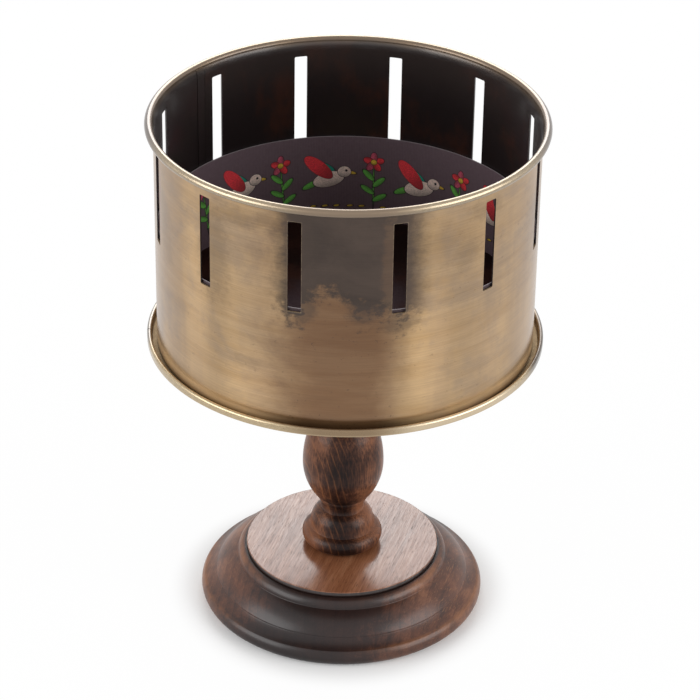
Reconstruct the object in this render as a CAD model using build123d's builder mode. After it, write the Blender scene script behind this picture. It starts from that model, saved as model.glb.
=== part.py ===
from build123d import *
import math
import os

# A zoetrope: a slotted sheet-brass drum that spins by hand on a steel spindle above a turned
# wooden stand, with a removable strip of pictures standing round the inside of the drum.
# Millimetres, +Z up. The origin is the middle of the underside, where the stand rests, and the
# front of the object faces -Y. Every turned or spun piece is drawn as (radius, height).

# ---------------------------------------------------------------- driving dimensions

# Fits
seat_clearance = 0.05        # radial, between pieces that are fastened together
running_clearance = 0.05     # radial, between the spindle and its bush
end_float = 0.2              # axial play of the drum under its top washer

# Round profiles are turned as short flats, which keeps the number of facets low
flat_depth = 0.1             # the most that a flat cuts inside its true curve

# Plinth: the turned wooden base, with its runs counted outwards from the disc on top
disc_radius = 52.8
disc_edge = 0.4
groove_width = 0.8
ring_width = 4.1
ring_bulge = 0.9
brow_run = 11.8
brow_bulge = 1.2             # how far the long sloping face swells outwards
bevel_run = 6.7
bevel_hollow = 0.4           # how far the bevel is cut in
nose_overhang = 1.7          # from the bevel's foot out to the widest point
foot_undercut = 3.1          # from the widest point in to the edge of the underside

# Plinth: its rises, counted upwards from the wood's underside
nose_widest_rise = 5.8
nose_rise = 9.2
bevel_rise = 4.3
crease_rise = 0.6            # upright step between the bevel and the brow
brow_rise = 9.6
ring_side_rise = 0.8
ring_rise = 4.3
groove_depth = 0.8
disc_rise = 3.4              # from the bottom of the groove up to the disc's face

# Felt disc under the plinth
felt_margin = 9.3            # from the felt's edge to the edge of the wood's underside
felt_thickness = 1.5
felt_stand_out = 0.4         # how far it reaches below the wood
felt_side_gap = 0.5

# Stem: one turned baluster, listed from its foot upwards
foot_ring_radius = 17.6
foot_ring_height = 0.6
torus_radius = 22.0
torus_seat_radius = 17.3
torus_height = 10.4
band_bottom_radius = 18.0
band_top_radius = 17.3
band_height = 3.4
shoulder_height = 8.1
shoulder_swell = 1.3         # how far the shoulder bulges past a straight line
waist_radius = 11.9
waist_hollow = 0.8           # how far the waist is cut in
waist_height = 6.7
collar_radius = 13.6
collar_height = 2.0
bulb_foot_radius = 14.7
bulb_radius = 22.1
bulb_lower_height = 20.8
bulb_upper_height = 20.0
bulb_top_radius = 18.6
neck_radius = 10.0
neck_run_height = 22.0
neck_shoulder = 2.4          # straight run between the bulb and the hollow of the neck
neck_shoulder_drop = 4.0
bead_radius = 12.8
bead_height = 4.0
bead_edge = 1.0
shaft_radius = 9.6
shaft_height = 16.6
capital_radius = 16.5
capital_flare_height = 6.6
capital_lip = 1.0
capital_height = 5.0
tenon_radius = 9.0
tenon_length = 13.8
mortise_spare = 0.5          # depth left under the tenon

# Screw up through the plinth
screw_shank_radius = 2.5
screw_length = 46.0
screw_tip_length = 6.0
screw_head_radius = 5.2
screw_head_height = 3.2
screw_head_edge = 1.0
screw_slot_width = 1.2
screw_slot_depth = 1.4
screw_washer_radius = 7.0
screw_washer_thickness = 1.2
screw_pocket_depth = 10.6    # from the wood's underside up to the washer
screw_pocket_radius = 8.0

# Spindle and the stack on top of the stem
spindle_radius = 3.0
spindle_grip_length = 32.0   # length screwed into the stem
spindle_end_chamfer = 0.6
cap_plate_radius = 15.0
cap_plate_thickness = 1.6
pin_count = 3
pin_circle_radius = 11.0
pin_radius = 0.8
pin_head_radius = 1.7
pin_head_height = 0.9
pin_head_edge = 0.6
pin_length = 9.0
jam_nut_across_flats = 10.0
jam_nut_height = 3.2
thrust_washer_radius = 7.5
thrust_washer_thickness = 1.2
top_washer_radius = 6.5
top_washer_thickness = 1.0
cap_nut_across_flats = 10.0
cap_nut_hex_height = 5.0
cap_nut_dome_radius = 4.6
cap_nut_bore_depth = 7.0

# Hub of the drum, with its bush, backing ring and rivets
bush_wall = 1.9
bush_flange_radius = 7.5
bush_flange_thickness = 1.5
hub_barrel_wall = 5.5
hub_barrel_length = 11.0
hub_flange_margin = 5.8      # from the rivets' circle to the flange's edge
hub_flange_thickness = 3.4
hub_root_chamfer = 1.6
spigot_wall = 3.0
spigot_rise = 3.5            # how far the spigot stands above the backing ring
backing_margin = 4.8         # from the rivets' circle to the backing ring's edge
backing_thickness = 1.0
rivet_count = 4
rivet_head_gap = 0.2         # between a rivet's head and the chamfer at the barrel's root
rivet_radius = 1.6
rivet_head_radius = 2.9
rivet_head_height = 1.6
rivet_head_edge = 1.1

# Drum wall: one sheet rolled to a cylinder, with a curled top rim
wall_radius = 100.0
wall_sheet = 0.8
wall_seat_gap = 0.3          # between the wall's lower edge and the bottom of the curl
rim_roll_radius = 2.2
rim_roll_angle = 240.0       # how far the sheet turns round the wire, from the inside face
rim_flare = 0.9              # how far the wall spreads outwards just under the roll
rim_flare_height = 5.0
wire_clearance = 0.1
wire_side_count = 8
slot_count = 12
slot_width = 7.0
slot_height = 50.0
slot_corner_radius = 0.6
slot_sill_drop = 1.5         # how far the slots' lower ends lie below the strip's top edge
slot_first_angle = 15.3
band_above_slots = 7.9       # plain wall between the slots and the start of the roll
lap_angle = 140.7            # where the sheet's overlapping edge shows inside the drum
lap_width = 6.0
lap_thickness = 0.3
lap_end_gap = 1.0            # between the overlap and the floor

# Drum pan: the floor, its skirt and the curled lip that carries the wall
pan_sheet = 0.6
pan_corner = 0.6
skirt_gap = 0.1              # between the skirt and the wall round it
pan_depth = 17.9             # from the floor's top face to the underside of the curl
lip_overhang = 5.3           # how far the lip stands out past the wall
lip_hem_width = 2.4
lip_hem_height = 4.7
lip_drop = 0.9               # how far the hem's turned end stays above the curl's underside
lip_joint_angle = 183.0
lip_joint_width = 0.5

# Picture strip
strip_thickness = 0.5
strip_height = 51.4
strip_wall_gap = 0.7
strip_joint_gap = 0.6
strip_joint_angle = 270.0

# ---------------------------------------------------------------- worked-out heights and radii

ring_inner_radius = disc_radius + groove_width
brow_top_radius = ring_inner_radius + ring_width
bevel_top_radius = brow_top_radius + brow_run
bevel_foot_radius = bevel_top_radius + bevel_run
plinth_widest_radius = bevel_foot_radius + nose_overhang
plinth_foot_radius = plinth_widest_radius - foot_undercut
felt_radius = plinth_foot_radius - felt_margin

wood_underside = felt_stand_out
plinth_widest_z = wood_underside + nose_widest_rise
bevel_foot_z = wood_underside + nose_rise
bevel_top_z = bevel_foot_z + bevel_rise
crease_top_z = bevel_top_z + crease_rise
brow_top_z = crease_top_z + brow_rise
ring_foot_z = brow_top_z + ring_side_rise
ring_top_z = ring_foot_z + ring_rise
groove_z = ring_top_z - groove_depth
plinth_height = groove_z + disc_rise

torus_bottom_z = plinth_height + foot_ring_height
torus_top_z = torus_bottom_z + torus_height
band_top_z = torus_top_z + band_height
shoulder_top_z = band_top_z + shoulder_height
collar_bottom_z = shoulder_top_z + waist_height
collar_top_z = collar_bottom_z + collar_height
bulb_crest_z = collar_top_z + bulb_lower_height
bulb_top_z = bulb_crest_z + bulb_upper_height
neck_z = bulb_top_z + neck_run_height
bead_top_z = neck_z + bead_height
shaft_top_z = bead_top_z + shaft_height
capital_bottom_z = shaft_top_z + capital_flare_height
stem_top_z = capital_bottom_z + capital_height

jam_nut_z = stem_top_z + cap_plate_thickness
thrust_washer_z = jam_nut_z + jam_nut_height
bush_z = thrust_washer_z + thrust_washer_thickness
barrel_z = bush_z + bush_flange_thickness
hub_flange_z = barrel_z + hub_barrel_length
pan_underside_z = hub_flange_z + hub_flange_thickness
floor_z = pan_underside_z + pan_sheet
backing_top_z = floor_z + backing_thickness
hub_top_z = backing_top_z + spigot_rise
top_washer_z = hub_top_z + end_float
cap_nut_z = top_washer_z + top_washer_thickness
spindle_top_z = cap_nut_z + cap_nut_bore_depth - seat_clearance

bush_bore_radius = spindle_radius + running_clearance
bush_radius = bush_bore_radius + bush_wall
fixed_bore_radius = spindle_radius + seat_clearance
bush_seat_radius = bush_radius + seat_clearance
spigot_radius = bush_seat_radius + spigot_wall
hub_barrel_radius = bush_seat_radius + hub_barrel_wall
rivet_circle_radius = hub_barrel_radius + hub_root_chamfer + rivet_head_gap + rivet_head_radius
hub_flange_radius = rivet_circle_radius + hub_flange_margin
backing_radius = rivet_circle_radius + backing_margin

wall_inner_radius = wall_radius - wall_sheet
slot_bottom_z = floor_z + strip_height - slot_sill_drop
slot_top_z = slot_bottom_z + slot_height
rim_centre_z = slot_top_z + band_above_slots
rim_inner_radius = wall_inner_radius + rim_flare
rim_centre_radius = rim_inner_radius + rim_roll_radius
flare_foot_z = rim_centre_z - rim_flare_height
rim_bore_radius = rim_roll_radius - wall_sheet
rim_wire_radius = rim_bore_radius - flat_depth - wire_clearance

skirt_radius = wall_inner_radius - skirt_gap
curl_underside_z = floor_z - pan_depth
curl_floor_z = curl_underside_z + pan_sheet
wall_bottom_z = curl_floor_z + wall_seat_gap
lip_outer_radius = wall_radius + lip_overhang
hem_round = lip_hem_width / 2
hem_centre_radius = lip_outer_radius - hem_round
hem_inner_radius = lip_outer_radius - lip_hem_width
hem_fold_z = curl_underside_z + lip_hem_height - hem_round

strip_outer_radius = wall_inner_radius - strip_wall_gap


# ---------------------------------------------------------------- helpers


def half_plane(angle):
    """The upright plane through the axis at this angle from +X, with x outwards and y up."""
    turn = math.radians(angle)
    outwards = (math.cos(turn), math.sin(turn), 0)
    return Plane(origin=(0, 0, 0), x_dir=outwards, z_dir=(math.sin(turn), -math.cos(turn), 0))


def facing_plane(radius, angle, height):
    """A plane that faces outwards at this radius and height, with x along the tangent."""
    turn = math.radians(angle)
    outwards = Vector(math.cos(turn), math.sin(turn), 0)
    return Plane(
        origin=outwards * radius + Vector(0, 0, height),
        x_dir=(-math.sin(turn), math.cos(turn), 0),
        z_dir=outwards,
    )


def flats(arc):
    """Draws an arc as the fewest even flats that cut no deeper inside it than flat_depth."""
    widest_turn = 2 * math.acos(1 - flat_depth / arc.radius)
    flat_count = math.ceil(arc.length / arc.radius / widest_turn)
    return Polyline(*[arc @ (step / flat_count) for step in range(flat_count + 1)])


def finish(piece, name):
    """Labels a finished piece and writes it."""
    piece.part.label = name
    export_step(piece.part, f"parts/{name}.step")


os.makedirs("parts", exist_ok=True)

# ---------------------------------------------------------------- plinth

washer_seat_z = wood_underside + screw_pocket_depth + screw_washer_thickness
mortise_depth = tenon_length + mortise_spare

with BuildPart() as base_plinth:
    with BuildSketch(Plane.XZ):
        with BuildLine():
            nose = ThreePointArc(
                (plinth_foot_radius, wood_underside),
                (plinth_widest_radius, plinth_widest_z),
                (bevel_foot_radius, bevel_foot_z),
                mode=Mode.PRIVATE,
            )
            bevel = SagittaArc(
                (bevel_foot_radius, bevel_foot_z),
                (bevel_top_radius, bevel_top_z),
                bevel_hollow,
                mode=Mode.PRIVATE,
            )
            brow = SagittaArc(
                (bevel_top_radius, crease_top_z),
                (brow_top_radius, brow_top_z),
                -brow_bulge,
                mode=Mode.PRIVATE,
            )
            ring = SagittaArc(
                (brow_top_radius, ring_foot_z),
                (ring_inner_radius, ring_top_z),
                -ring_bulge,
                mode=Mode.PRIVATE,
            )
            flats(nose)
            flats(bevel)
            Line(bevel @ 1, brow @ 0)
            flats(brow)
            Line(brow @ 1, ring @ 0)
            flats(ring)
            Polyline(
                ring @ 1,
                (disc_radius, groove_z),
                (disc_radius, plinth_height - disc_edge),
                (disc_radius - disc_edge, plinth_height),
                (0, plinth_height),
                (0, wood_underside),
                nose @ 0,
            )
        make_face()
    revolve(axis=Axis.Z)
    with BuildSketch(Plane.XY.offset(wood_underside)):
        Circle(felt_radius + felt_side_gap)
    extrude(amount=felt_thickness - wood_underside, mode=Mode.SUBTRACT)
    with BuildSketch(Plane.XY.offset(wood_underside)):
        Circle(screw_pocket_radius)
    extrude(amount=washer_seat_z - wood_underside, mode=Mode.SUBTRACT)
    with BuildSketch(Plane.XY.offset(plinth_height)):
        Circle(tenon_radius + seat_clearance)
    extrude(amount=-mortise_depth, mode=Mode.SUBTRACT)
    with BuildSketch(Plane.XY.offset(washer_seat_z)):
        Circle(screw_shank_radius + seat_clearance)
    extrude(amount=plinth_height - washer_seat_z, mode=Mode.SUBTRACT)
finish(base_plinth, "base_plinth")

with BuildPart() as felt_pad:
    with BuildSketch(Plane.XY):
        Circle(felt_radius)
    extrude(amount=felt_thickness)
finish(felt_pad, "felt_pad")

# ---------------------------------------------------------------- stem

screw_head_z = washer_seat_z - screw_washer_thickness - screw_head_height
screw_tip_z = washer_seat_z - screw_washer_thickness + screw_length
pin_seat_z = stem_top_z + cap_plate_thickness

with BuildPart() as stem:
    with BuildSketch(Plane.XZ):
        with BuildLine():
            torus = ThreePointArc(
                (torus_seat_radius, torus_bottom_z),
                (torus_radius, (torus_bottom_z + torus_top_z) / 2),
                (band_bottom_radius, torus_top_z),
                mode=Mode.PRIVATE,
            )
            shoulder = SagittaArc(
                (band_top_radius, band_top_z),
                (waist_radius, shoulder_top_z),
                -shoulder_swell,
                mode=Mode.PRIVATE,
            )
            waist = SagittaArc(
                (waist_radius, shoulder_top_z),
                (collar_radius, collar_bottom_z),
                waist_hollow,
                mode=Mode.PRIVATE,
            )
            bulb_under = TangentArc(
                (bulb_radius, bulb_crest_z),
                (bulb_foot_radius, collar_top_z),
                tangent=(0, -1),
                mode=Mode.PRIVATE,
            )
            bulb_over = TangentArc(
                (bulb_radius, bulb_crest_z),
                (bulb_top_radius, bulb_top_z),
                tangent=(0, 1),
                mode=Mode.PRIVATE,
            )
            neck = TangentArc(
                (neck_radius, neck_z),
                (bulb_top_radius - neck_shoulder, bulb_top_z + neck_shoulder_drop),
                tangent=(0, -1),
                mode=Mode.PRIVATE,
            )
            flare = TangentArc(
                (shaft_radius, shaft_top_z),
                (capital_radius - capital_lip, capital_bottom_z),
                tangent=(0, 1),
                mode=Mode.PRIVATE,
            )
            Polyline(
                (0, plinth_height - tenon_length),
                (tenon_radius, plinth_height - tenon_length),
                (tenon_radius, plinth_height),
                (foot_ring_radius, plinth_height),
                (foot_ring_radius, torus_bottom_z),
                torus @ 0,
            )
            flats(torus)
            Line(torus @ 1, shoulder @ 0)
            flats(shoulder)
            flats(waist)
            Polyline(
                waist @ 1,
                (collar_radius, collar_top_z),
                bulb_under @ 1,
            )
            flats(bulb_under)
            flats(bulb_over)
            Line(bulb_over @ 1, neck @ 1)
            flats(neck)
            Polyline(
                neck @ 0,
                (bead_radius - bead_edge, neck_z),
                (bead_radius, neck_z + bead_edge),
                (bead_radius, bead_top_z - bead_edge),
                (bead_radius - bead_edge, bead_top_z),
                (shaft_radius, bead_top_z),
                flare @ 0,
            )
            flats(flare)
            Polyline(
                flare @ 1,
                (capital_radius, capital_bottom_z),
                (capital_radius, stem_top_z),
                (0, stem_top_z),
                (0, plinth_height - tenon_length),
            )
        make_face()
    revolve(axis=Axis.Z)
    with BuildSketch(Plane.XY.offset(stem_top_z)):
        Circle(fixed_bore_radius)
    extrude(amount=-(spindle_grip_length + seat_clearance), mode=Mode.SUBTRACT)
    with BuildSketch(Plane.XY.offset(plinth_height - tenon_length)):
        Circle(screw_shank_radius + seat_clearance)
    extrude(
        amount=screw_tip_z + seat_clearance - (plinth_height - tenon_length), mode=Mode.SUBTRACT
    )
    with BuildSketch(Plane.XY.offset(stem_top_z)):
        with PolarLocations(pin_circle_radius, pin_count):
            Circle(pin_radius + seat_clearance)
    extrude(amount=-(pin_length - cap_plate_thickness + seat_clearance), mode=Mode.SUBTRACT)
finish(stem, "stem")

with BuildPart() as stem_screw:
    with BuildSketch(Plane.XZ):
        with BuildLine():
            head_top_z = screw_head_z + screw_head_height
            Polyline(
                (0, screw_head_z),
                (screw_head_radius - screw_head_edge, screw_head_z),
                (screw_head_radius, screw_head_z + screw_head_edge),
                (screw_head_radius, head_top_z),
                (screw_shank_radius, head_top_z),
                (screw_shank_radius, screw_tip_z - screw_tip_length),
                (0, screw_tip_z),
                close=True,
            )
        make_face()
    revolve(axis=Axis.Z)
    with BuildSketch(Plane.XY.offset(screw_head_z)):
        Rectangle(2 * screw_head_radius, screw_slot_width)
    extrude(amount=screw_slot_depth, mode=Mode.SUBTRACT)
finish(stem_screw, "stem_screw")

with BuildPart() as screw_washer:
    with BuildSketch(Plane.XY.offset(washer_seat_z)):
        Circle(screw_washer_radius)
        Circle(screw_shank_radius + seat_clearance, mode=Mode.SUBTRACT)
    extrude(amount=-screw_washer_thickness)
finish(screw_washer, "screw_washer")

# ---------------------------------------------------------------- spindle stack on the stem

with BuildPart() as stem_cap:
    with BuildSketch(Plane.XY.offset(stem_top_z)):
        Circle(cap_plate_radius)
        Circle(fixed_bore_radius, mode=Mode.SUBTRACT)
        with PolarLocations(pin_circle_radius, pin_count):
            Circle(pin_radius + seat_clearance, mode=Mode.SUBTRACT)
    extrude(amount=cap_plate_thickness)
finish(stem_cap, "stem_cap")

with BuildPart() as cap_pin:
    with BuildSketch(Plane.XZ):
        with BuildLine():
            Polyline(
                (0, pin_seat_z + pin_head_height),
                (pin_head_radius - pin_head_edge, pin_seat_z + pin_head_height),
                (pin_head_radius, pin_seat_z),
                (pin_radius, pin_seat_z),
                (pin_radius, pin_seat_z - pin_length + pin_radius),
                (0, pin_seat_z - pin_length),
                close=True,
            )
        make_face()
    revolve(axis=Axis.Z)

with BuildPart() as stem_cap_pins:
    with PolarLocations(pin_circle_radius, pin_count):
        add(cap_pin.part)
finish(stem_cap_pins, "stem_cap_pins")

with BuildPart() as spindle:
    with BuildSketch(Plane.XY.offset(stem_top_z - spindle_grip_length)):
        Circle(spindle_radius)
    extrude(amount=spindle_top_z - stem_top_z + spindle_grip_length)
    chamfer(spindle.edges().group_by(Axis.Z)[0], spindle_end_chamfer)
finish(spindle, "spindle")

with BuildPart() as jam_nut:
    with BuildSketch(Plane.XY.offset(jam_nut_z)):
        RegularPolygon(jam_nut_across_flats / 2, 6, major_radius=False)
        Circle(fixed_bore_radius, mode=Mode.SUBTRACT)
    extrude(amount=jam_nut_height)
finish(jam_nut, "jam_nut")

with BuildPart() as thrust_washer:
    with BuildSketch(Plane.XY.offset(thrust_washer_z)):
        Circle(thrust_washer_radius)
        Circle(fixed_bore_radius, mode=Mode.SUBTRACT)
    extrude(amount=thrust_washer_thickness)
finish(thrust_washer, "thrust_washer")

with BuildPart() as top_washer:
    with BuildSketch(Plane.XY.offset(top_washer_z)):
        Circle(top_washer_radius)
        Circle(fixed_bore_radius, mode=Mode.SUBTRACT)
    extrude(amount=top_washer_thickness)
finish(top_washer, "top_washer")

with BuildPart() as cap_nut:
    with BuildSketch(Plane.XY.offset(cap_nut_z)):
        RegularPolygon(cap_nut_across_flats / 2, 6, major_radius=False)
    extrude(amount=cap_nut_hex_height)
    with BuildSketch(Plane.XZ):
        with BuildLine():
            dome_foot = (0, cap_nut_z + cap_nut_hex_height)
            dome = CenterArc(dome_foot, cap_nut_dome_radius, 0, 90, mode=Mode.PRIVATE)
            flats(dome)
            Polyline(dome @ 1, dome_foot, dome @ 0)
        make_face()
    revolve(axis=Axis.Z)
    with BuildSketch(Plane.XY.offset(cap_nut_z)):
        Circle(fixed_bore_radius)
    extrude(amount=cap_nut_bore_depth, mode=Mode.SUBTRACT)
finish(cap_nut, "cap_nut")

# ---------------------------------------------------------------- hub of the drum

with BuildPart() as hub_bush:
    with BuildSketch(Plane.XY.offset(bush_z)):
        Circle(bush_flange_radius)
    extrude(amount=bush_flange_thickness)
    with BuildSketch(Plane.XY.offset(barrel_z)):
        Circle(bush_radius)
    extrude(amount=hub_top_z - barrel_z)
    with BuildSketch(Plane.XY.offset(bush_z)):
        Circle(bush_bore_radius)
    extrude(amount=hub_top_z - bush_z, mode=Mode.SUBTRACT)
finish(hub_bush, "hub_bush")

with BuildPart() as hub:
    with BuildSketch(Plane.XZ):
        with BuildLine():
            Polyline(
                (bush_seat_radius, barrel_z),
                (hub_barrel_radius, barrel_z),
                (hub_barrel_radius, hub_flange_z),
                (hub_flange_radius, hub_flange_z),
                (hub_flange_radius, pan_underside_z),
                (spigot_radius, pan_underside_z),
                (spigot_radius, hub_top_z),
                (bush_seat_radius, hub_top_z),
                close=True,
            )
        make_face()
    revolve(axis=Axis.Z)
    flange_edges = hub.edges().filter_by(GeomType.CIRCLE).group_by(Axis.Z)[1]
    chamfer(flange_edges.sort_by(SortBy.RADIUS)[0], hub_root_chamfer)
    with BuildSketch(Plane.XY.offset(hub_flange_z)):
        with PolarLocations(rivet_circle_radius, rivet_count):
            Circle(rivet_radius + seat_clearance)
    extrude(amount=hub_flange_thickness, mode=Mode.SUBTRACT)
finish(hub, "hub")

with BuildPart() as hub_backing_ring:
    with BuildSketch(Plane.XY.offset(floor_z)):
        Circle(backing_radius)
        Circle(spigot_radius + seat_clearance, mode=Mode.SUBTRACT)
        with PolarLocations(rivet_circle_radius, rivet_count):
            Circle(rivet_radius + seat_clearance, mode=Mode.SUBTRACT)
    extrude(amount=backing_thickness)
finish(hub_backing_ring, "hub_backing_ring")

with BuildPart() as rivet:
    with BuildSketch(Plane.XZ):
        with BuildLine():
            lower_crown_z = hub_flange_z - rivet_head_height
            upper_crown_z = backing_top_z + rivet_head_height
            Polyline(
                (0, lower_crown_z),
                (rivet_head_radius - rivet_head_edge, lower_crown_z),
                (rivet_head_radius, hub_flange_z),
                (rivet_radius, hub_flange_z),
                (rivet_radius, backing_top_z),
                (rivet_head_radius, backing_top_z),
                (rivet_head_radius - rivet_head_edge, upper_crown_z),
                (0, upper_crown_z),
                close=True,
            )
        make_face()
    revolve(axis=Axis.Z)

with BuildPart() as hub_rivets:
    with PolarLocations(rivet_circle_radius, rivet_count):
        add(rivet.part)
finish(hub_rivets, "hub_rivets")

# ---------------------------------------------------------------- drum

with BuildPart() as drum_pan:
    with BuildSketch(Plane.XZ):
        with BuildLine():
            hem_centre = (hem_centre_radius, hem_fold_z)
            hem = CenterArc(hem_centre, hem_round, 180, -180, mode=Mode.PRIVATE)
            flats(hem)
            Polyline(
                hem @ 1,
                (lip_outer_radius, curl_underside_z + lip_drop),
                (lip_outer_radius - pan_sheet, curl_underside_z + lip_drop),
                (lip_outer_radius - pan_sheet, hem_fold_z),
                (hem_inner_radius + pan_sheet, hem_fold_z),
                (hem_inner_radius + pan_sheet, curl_underside_z),
                (skirt_radius - pan_sheet, curl_underside_z),
                (skirt_radius - pan_sheet, floor_z - pan_sheet),
                (spigot_radius + seat_clearance, floor_z - pan_sheet),
                (spigot_radius + seat_clearance, floor_z),
                (skirt_radius - pan_corner, floor_z),
                (skirt_radius, floor_z - pan_corner),
                (skirt_radius, curl_floor_z),
                (hem_inner_radius, curl_floor_z),
                hem @ 0,
            )
        make_face()
    revolve(axis=Axis.Z)
    with BuildSketch(Plane.XY.offset(floor_z)):
        with PolarLocations(rivet_circle_radius, rivet_count):
            Circle(rivet_radius + seat_clearance)
    extrude(amount=-2 * pan_sheet, mode=Mode.SUBTRACT)
    with BuildSketch(facing_plane(lip_outer_radius, lip_joint_angle, hem_fold_z)):
        Rectangle(lip_joint_width, lip_hem_height)
    extrude(amount=-hem_round, both=True, mode=Mode.SUBTRACT)
finish(drum_pan, "drum_pan")

slot_planes = [
    facing_plane(
        wall_radius,
        slot_first_angle + index * 360 / slot_count,
        (slot_bottom_z + slot_top_z) / 2,
    )
    for index in range(slot_count)
]

with BuildPart() as drum_wall:
    with BuildSketch(Plane.XZ):
        with BuildLine():
            rim_centre = (rim_centre_radius, rim_centre_z)
            roll = CenterArc(
                rim_centre, rim_roll_radius, 180, -rim_roll_angle, mode=Mode.PRIVATE
            )
            roll_bore = CenterArc(
                rim_centre, rim_bore_radius, 180, -rim_roll_angle, mode=Mode.PRIVATE
            )
            flats(roll)
            Line(roll @ 1, roll_bore @ 1)
            flats(roll_bore)
            Polyline(
                roll_bore @ 0,
                (wall_radius, flare_foot_z),
                (wall_radius, wall_bottom_z),
                (wall_inner_radius, wall_bottom_z),
                (wall_inner_radius, flare_foot_z),
                roll @ 0,
            )
        make_face()
    revolve(axis=Axis.Z)
    with BuildSketch(*slot_planes):
        RectangleRounded(slot_width, slot_height, slot_corner_radius)
    extrude(amount=2 * wall_sheet, both=True, mode=Mode.SUBTRACT)
    with BuildSketch(half_plane(lap_angle)):
        with BuildLine():
            Polyline(
                (wall_inner_radius - lap_thickness, floor_z + lap_end_gap),
                (wall_inner_radius + wall_sheet / 2, floor_z + lap_end_gap),
                (wall_inner_radius + wall_sheet / 2, flare_foot_z),
                (rim_inner_radius + wall_sheet / 2, rim_centre_z),
                (rim_inner_radius - lap_thickness, rim_centre_z),
                (wall_inner_radius - lap_thickness, flare_foot_z),
                close=True,
            )
        make_face()
    revolve(axis=Axis.Z, revolution_arc=math.degrees(lap_width / wall_inner_radius))
finish(drum_wall, "drum_wall")

with BuildPart() as rim_wire:
    with BuildSketch(Plane.XZ):
        with Locations(rim_centre):
            RegularPolygon(rim_wire_radius, wire_side_count)
    revolve(axis=Axis.Z)
finish(rim_wire, "rim_wire")

# ---------------------------------------------------------------- picture strip

joint_arc = math.degrees(strip_joint_gap / strip_outer_radius)

with BuildPart() as picture_strip:
    with BuildSketch(half_plane(strip_joint_angle + joint_arc / 2)):
        with Locations((strip_outer_radius - strip_thickness / 2, floor_z + strip_height / 2)):
            Rectangle(strip_thickness, strip_height)
    revolve(axis=Axis.Z, revolution_arc=360 - joint_arc)
finish(picture_strip, "picture_strip")
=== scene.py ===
import math
from functools import partialmethod
from itertools import accumulate

import bpy
from mathutils import Matrix, Vector


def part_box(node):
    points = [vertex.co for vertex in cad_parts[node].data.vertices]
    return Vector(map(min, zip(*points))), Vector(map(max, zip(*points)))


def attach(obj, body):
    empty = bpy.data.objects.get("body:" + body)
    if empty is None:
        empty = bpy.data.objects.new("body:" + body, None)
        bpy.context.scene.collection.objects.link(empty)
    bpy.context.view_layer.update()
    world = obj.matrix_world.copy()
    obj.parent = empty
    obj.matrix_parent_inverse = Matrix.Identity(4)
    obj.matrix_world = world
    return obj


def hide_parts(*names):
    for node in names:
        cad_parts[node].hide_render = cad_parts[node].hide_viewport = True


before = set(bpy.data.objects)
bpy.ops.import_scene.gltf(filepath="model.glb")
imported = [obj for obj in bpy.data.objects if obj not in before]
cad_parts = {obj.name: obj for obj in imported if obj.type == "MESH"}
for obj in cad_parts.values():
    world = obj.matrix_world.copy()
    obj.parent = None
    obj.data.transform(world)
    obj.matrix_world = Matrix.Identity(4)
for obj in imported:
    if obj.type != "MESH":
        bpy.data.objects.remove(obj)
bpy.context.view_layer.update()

MM = 0.001
RING_STEPS = 360             # facets round a turned piece
SHARP_ANGLE = math.radians(28)
TINY = 1e-6

# -------- sizes in mm and degrees


def reach(node):
    """A round node's reach from the axis."""
    low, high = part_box(node)
    return min(high.x, high.y, -low.x, -low.y) / MM


def foot(node):
    """Height of a node's lowest point."""
    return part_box(node)[0].z / MM


def top(node):
    """Height of a node's highest point."""
    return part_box(node)[1].z / MM


# Plinth, from its disc outwards and from the wood's underside upwards
plinth_radius = reach("base_plinth")
plinth_foot = foot("base_plinth")
plinth_top = top("base_plinth")
disc_radius = 52.8
ring_inner = disc_radius + 0.8
ring_width = 4.1
ring_bulge = 0.9
brow_run = 11.8
brow_bulge = 1.2
bevel_run = 6.7
bevel_hollow = 0.4
nose_overhang = 1.7
foot_undercut = 3.1
nose_widest_rise = 5.8
plinth_runs = (9.2, 4.3, 0.6, 9.6)          # nose, bevel, crease and brow
ring_side_rise = 0.8
disc_rise = 3.4
groove_depth = 0.8
plinth_edge = 0.45
felt_top = top("felt_pad")
felt_clearance = 0.5

# Stem: radii and details, then the height of each run upwards, from the foot ring to the capital
foot_ring = 17.6
torus_radius = 22.0
torus_seat = 17.3
band_bottom = 18.0
band_top = 17.3
shoulder_swell = 1.3
waist = 11.9
waist_hollow = 0.8
collar = 13.6
bulb_foot = 14.7
bulb = 22.1
bulb_top = 18.6
neck = 10.0
neck_shoulder = 2.4
neck_shoulder_drop = 4.0
bead = 12.8
bead_edge = 1.0
shaft = 9.6
capital = 16.5
capital_lip = 1.0
stem_edge = 0.4
stem_runs = (0.6, 10.4, 3.4, 8.1, 6.7, 2.0, 20.8, 20.0, 22.0, 4.0, 16.6, 6.6)
stem_top = top("stem")

# Drum wall, its slots, its rolled rim and the lap inside its seam
wall_radius = 100.0
wall_sheet = 0.8
wall_inner = wall_radius - wall_sheet
wall_foot = foot("drum_wall")
slot_count = 12
slot_width = 7.0
slot_height = 50.0
slot_corner = 0.6
slot_first_angle = 15.3
slot_sill_drop = 1.5
band_above_slots = 7.9
slot_foot_z = top("picture_strip") - slot_sill_drop
slot_top_z = slot_foot_z + slot_height
rim_centre_z = slot_top_z + band_above_slots
rim_roll = top("drum_wall") - rim_centre_z
rim_flare = 0.9
rim_flare_height = 5.0
rim_turn = 240
lap_angle = 140.7
lap_width = 6.0
lap_thickness = 0.3
lap_foot_rise = 1.0

# Drum pan: floor, skirt and curled lip
pan_sheet = 0.6
pan_foot = foot("drum_pan")
floor_z = top("drum_pan")
skirt_radius = wall_inner - 0.1
skirt_corner = 1.2
lip_radius = reach("drum_pan")
lip_drop = 0.9
lip_joint_angle = 183.0
lip_joint_width = 0.5
hem_width = 2.4
hem_height = 4.7
hem_turn_up = 0.5
hub_spigot = 8.0

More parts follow.
